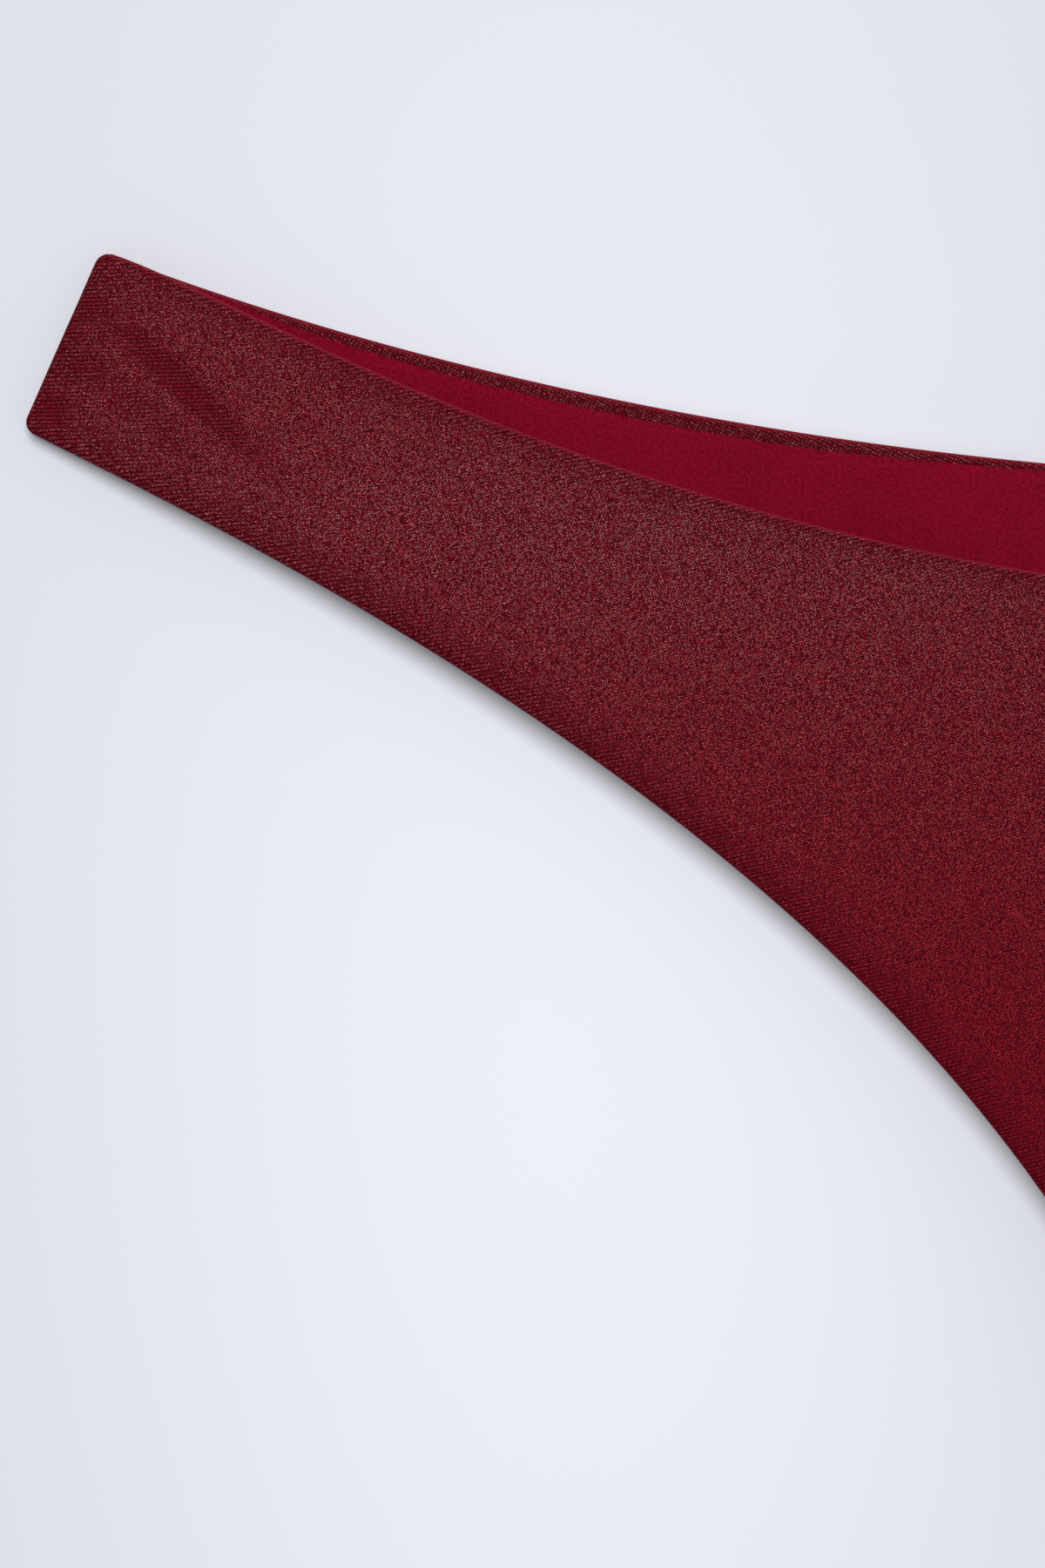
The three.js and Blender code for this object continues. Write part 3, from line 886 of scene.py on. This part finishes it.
rubber = Finish("knitted_elastic")
along, across, _ = rubber.split(rubber.node("ShaderNodeUVMap", {"uv_map": "knit"}))
cord = (across * (2 * math.pi * cord_count / elastic_width)).math("COSINE") * 0.5 + 0.5
knot = (along * (2 * math.pi / knot_pitch)).math("SINE") * 0.5 + 0.5
rubber_color = rubber.mix(cord * 0.7 + knot * 0.3, rubber_shade, rubber_light)
ridges = cord + knot * 0.5
ridge_bump = {"Strength": 0.3, "Distance": ridge_height, "Height": ridges}
rubber_bump = rubber.node("ShaderNodeBump", {}, ridge_bump)
elastic_rubber = rubber.surface(Base_Color=rubber_color, Roughness=0.7, Normal=rubber_bump)

elastic_places = (
    ("waist_elastic", WAIST),
    ("leg_elastic_right", RIGHT_LEG),
    ("leg_elastic_left", LEFT_LEG),
)
for face, panel in (("front", front), ("back", back)):
    for place, k in elastic_places:
        piece = elastic_piece(f"{face}_{place}_strip", panel, k, np.linspace(0, 1, elastic_columns))
        piece.data.materials.append(elastic_rubber)
        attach(piece, "root")
        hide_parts(f"{face}_{place}")

# ---------------------------------------------------------------------------------------
# Overlocks: crimson thread wound over the raw edges of the front's and the back's seam
# allowances, which holds the two panels together at both sides and at the crotch.
# ---------------------------------------------------------------------------------------
thread_radius = 0.11
stitch_pitch = 0.9
overlock_width = 3.0
overlock_thickness = 0.5
overlock_inset = 0.4
overlock_end = elastic_depth + overlock_inset
turn_steps = 14
thread_sides = 6
ply_height = 0.00005
ply_scale = 3000.0
thread_shade = (0.12, 0.003, 0.012)
thread_light = (0.30, 0.010, 0.035)
allowance_face = 2 * roll_radius + shell_thickness / 2
overlock_room = 2 * allowance_face + overlock_thickness + 2 * layer_gap


def overlock_piece(name, k, ease):
    """Thread as a tube along a flattened screw: it runs round an oval as wide as the overlock,
    which moves along the seam half way between the two panels."""
    start = rise_for_room(overlock_room, ease)
    middle = start + overlock_width / 2
    length = back.runs[k][1][-1]
    turns = int((length - 2 * elastic_depth) / stitch_pitch)
    t = np.linspace(0, 1, turns * turn_steps + 1)
    a = 2 * np.pi * turns * t
    line = back.inset(k, t, {**even(middle), "hem": overlock_end})
    inner = back.inset(k, t, {**even(middle + 1), "hem": overlock_end})
    inward = (inner - line) / np.linalg.norm(inner - line, axis=1)[:, None]
    half_width = overlock_width / 2 - thread_radius
    half_height = overlock_thickness / 2 - thread_radius
    flat = line + inward * (np.cos(a) * half_width)[:, None]
    x, y = line.T
    level = (front_level(x, y) + flat_level(x, y)) / 2 + np.sin(a) * half_height
    centre = np.concatenate([flat, level[:, None]], axis=1)
    tangent = np.gradient(centre, axis=0)
    tangent /= np.linalg.norm(tangent, axis=1)[:, None]
    seam = np.concatenate([np.gradient(line, axis=0), np.zeros((len(t), 1))], axis=1)
    first = np.cross(tangent, seam)
    first /= np.linalg.norm(first, axis=1)[:, None]
    second = np.cross(tangent, first)
    b = 2 * np.pi * np.arange(thread_sides) / thread_sides
    ring = first[:, None] * np.cos(b)[:, None] + second[:, None] * np.sin(b)[:, None]
    points = (centre[:, None] + thread_radius * ring).reshape(-1, 3)
    ring_start = np.arange(len(t) - 1)[:, None] * thread_sides
    here = ring_start + np.arange(thread_sides)
    beside = ring_start + (np.arange(thread_sides) + 1) % thread_sides
    cells = np.stack([here, beside, beside + thread_sides, here + thread_sides], axis=-1).reshape(-1, 4)
    last = (len(t) - 1) * thread_sides
    first_cap = np.array([[0, 5, 4, 3], [0, 3, 2, 1]])
    last_cap = last + np.array([[0, 1, 2, 3], [0, 3, 4, 5]])
    return make_piece(name, points, np.concatenate([cells, first_cap, last_cap]))


thread = Finish("overlock_thread_finish")
spot = thread.node("ShaderNodeTexCoord", output=3)
ply = thread.node("ShaderNodeTexNoise", {}, {"Vector": spot, "Scale": ply_scale, "Detail": 2.0})
thread_color = thread.mix(ply, thread_shade, thread_light)
thread_bump = thread.node("ShaderNodeBump", {}, {"Strength": 0.4, "Distance": ply_height, "Height": ply})
overlock_thread = thread.surface(Base_Color=thread_color, Roughness=0.75, Normal=thread_bump)

for name, node, k, ease in (
    ("side_overlock_threads_right", "side_overlock_right", RIGHT_SIDE, side_ease),
    ("side_overlock_threads_left", "side_overlock_left", LEFT_SIDE, side_ease),
    ("crotch_overlock_threads", "crotch_overlock", CROTCH, crotch_ease),
):
    piece = overlock_piece(name, k, ease)
    piece.data.materials.append(overlock_thread)
    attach(piece, "root")
    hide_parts(node)

# ---------------------------------------------------------------------------------------
# Care label: a blank white satin ribbon folded in half, its two cut ends caught in the
# wearer's left side seam, lying on the back lining.
# ---------------------------------------------------------------------------------------
label_width = 12.0
label_length = 24.0
ribbon_thickness = 0.09
label_lift = 0.16
label_rows = 24
label_columns = 60
label_height = 0.25
label_bulge = 0.06
weft_pitch = 0.18
warp_pitch = 0.30
woven_edge_width = 0.6
weave_height = 0.00005
satin_light = (0.86, 0.85, 0.82)
satin_shade = (0.70, 0.69, 0.66)

label_room = 2 * lining_face + label_height + 2 * layer_gap
label_depth = rise_for_room(label_room, side_ease)
seam_middle = np.array([upper_side_x + side_lean / 2, upper_y - side_drop / 2])
label_along = np.array([side_line[1], -side_line[0]])
label_across = np.array([-label_along[1], label_along[0]])
radius = label_lift / 2
straight = label_length - radius
run = np.linspace(0, 2 * straight + np.pi * radius, label_columns * 2 + 1)
turn = np.clip((run - straight) / radius, 0, np.pi)
out = np.minimum(run, straight) + radius * np.sin(turn) - np.maximum(run - straight - np.pi * radius, 0)
bulge = label_bulge * (turn / np.pi) * np.sin(np.pi * out / label_length)
lift = radius * (1 - np.cos(turn)) + bulge
width = np.linspace(-0.5, 0.5, label_rows + 1) * label_width
label_level = back_level + lining_face + layer_gap + ribbon_thickness / 2
spread = np.stack(np.meshgrid(run, width), axis=-1)
shape = spread.shape[:2]
flat = seam_middle + (label_depth + np.broadcast_to(out, shape))[..., None] * label_along
flat = flat + spread[..., 1:] * label_across
level = np.broadcast_to(label_level + lift, shape)[..., None]
label_points = np.concatenate([flat, level], axis=-1).reshape(-1, 3)
label_cells = grid_cells(*shape)
solid, faces = thicken(label_points, label_cells, ribbon_thickness)
label = make_piece("care_label_ribbon", solid, faces, np.tile(spread.reshape(-1, 2), (2, 1)))
label_cut, label_area = cut_size(spread, label_cells)

satin = Finish("white_satin")
along, across, _ = satin.split(satin.node("ShaderNodeUVMap", {"uv_map": "knit"}))
weft = (across * (2 * math.pi / weft_pitch)).math("SINE") * 0.5 + 0.5
warp = (along * (2 * math.pi / warp_pitch)).math("SINE") * 0.5 + 0.5
woven_edge = (across.math("ABSOLUTE") > label_width / 2 - woven_edge_width) * 0.5
satin_color = satin.mix(weft * 0.4 + warp * 0.2 + woven_edge, satin_light, satin_shade)
weave = weft + warp * 0.5
weave_bump = {"Strength": 0.15, "Distance": weave_height, "Height": weave}
satin_bump = satin.node("ShaderNodeBump", {}, weave_bump)
satin_roughness = 0.4 + woven_edge * 0.4
label_satin = satin.surface(Base_Color=satin_color, Roughness=satin_roughness, Normal=satin_bump)
label.data.materials.append(label_satin)
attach(label, "root")
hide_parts("care_label")

# ---------------------------------------------------------------------------------------
# Floor and light: a plain pale surface with a painted pool of light below the leg edge, one soft
# round light high over the waist, and a pale room round it.
# ---------------------------------------------------------------------------------------
floor_size = 14.0
floor_drop = 0.0001
bpy.ops.mesh.primitive_plane_add(size=floor_size, location=(0, 0, -floor_drop))
floor = bpy.context.object
floor.name = "floor"
# Painted pool of light: the floor is painted brighter in an oval below the leg edge.
light_pool_centre = (-0.104, 0.000)
light_pool_reach = (0.068, 0.150)
floor_shade = (0.665, 0.680, 0.735)
floor_in_light_pool = (0.820, 0.838, 0.905)
pale = Finish("pale_floor_with_painted_light_pool")
floor_x, floor_y, _ = pale.split(pale.node("ShaderNodeTexCoord", output=3))
across_bright = (floor_x - light_pool_centre[0]) / light_pool_reach[0]
along_bright = (floor_y - light_pool_centre[1]) / light_pool_reach[1]
painted_light_pool = (0.0 - across_bright * across_bright - along_bright * along_bright).math("EXPONENT")
floor_color = pale.mix(painted_light_pool, floor_shade, floor_in_light_pool)
floor.data.materials.append(pale.surface(Base_Color=floor_color, Roughness=0.9, Specular_IOR_Level=0.0))

light_target = (-0.112, 0.03, 0.0)
light_distance = 2.0
light_elevation = 76.5
light_azimuth = 110.0
light_size = 0.85
light_power = 32.0
light_data = bpy.data.lights.new("soft_light", "AREA")
light_data.shape = "DISK"
light_data.size = light_size
light_data.energy = light_power
light = bpy.data.objects.new("soft_light", light_data)
across_floor = light_distance * math.cos(math.radians(light_elevation))
light.location = (
    light_target[0] + across_floor * math.cos(math.radians(light_azimuth)),
    light_target[1] + across_floor * math.sin(math.radians(light_azimuth)),
    light_distance * math.sin(math.radians(light_elevation)),
)
light.rotation_euler = (math.radians(90 - light_elevation), 0, math.radians(light_azimuth + 90))
bpy.context.collection.objects.link(light)

room_color = (0.96, 0.98, 1.0, 1)
room_strength = 0.30
world = bpy.data.worlds.new("pale_room")
world.use_nodes = True
background = world.node_tree.nodes["Background"]
background.inputs["Color"].default_value = room_color
background.inputs["Strength"].default_value = room_strength
bpy.context.scene.world = world
bpy.context.scene.view_settings.view_transform = "Standard"
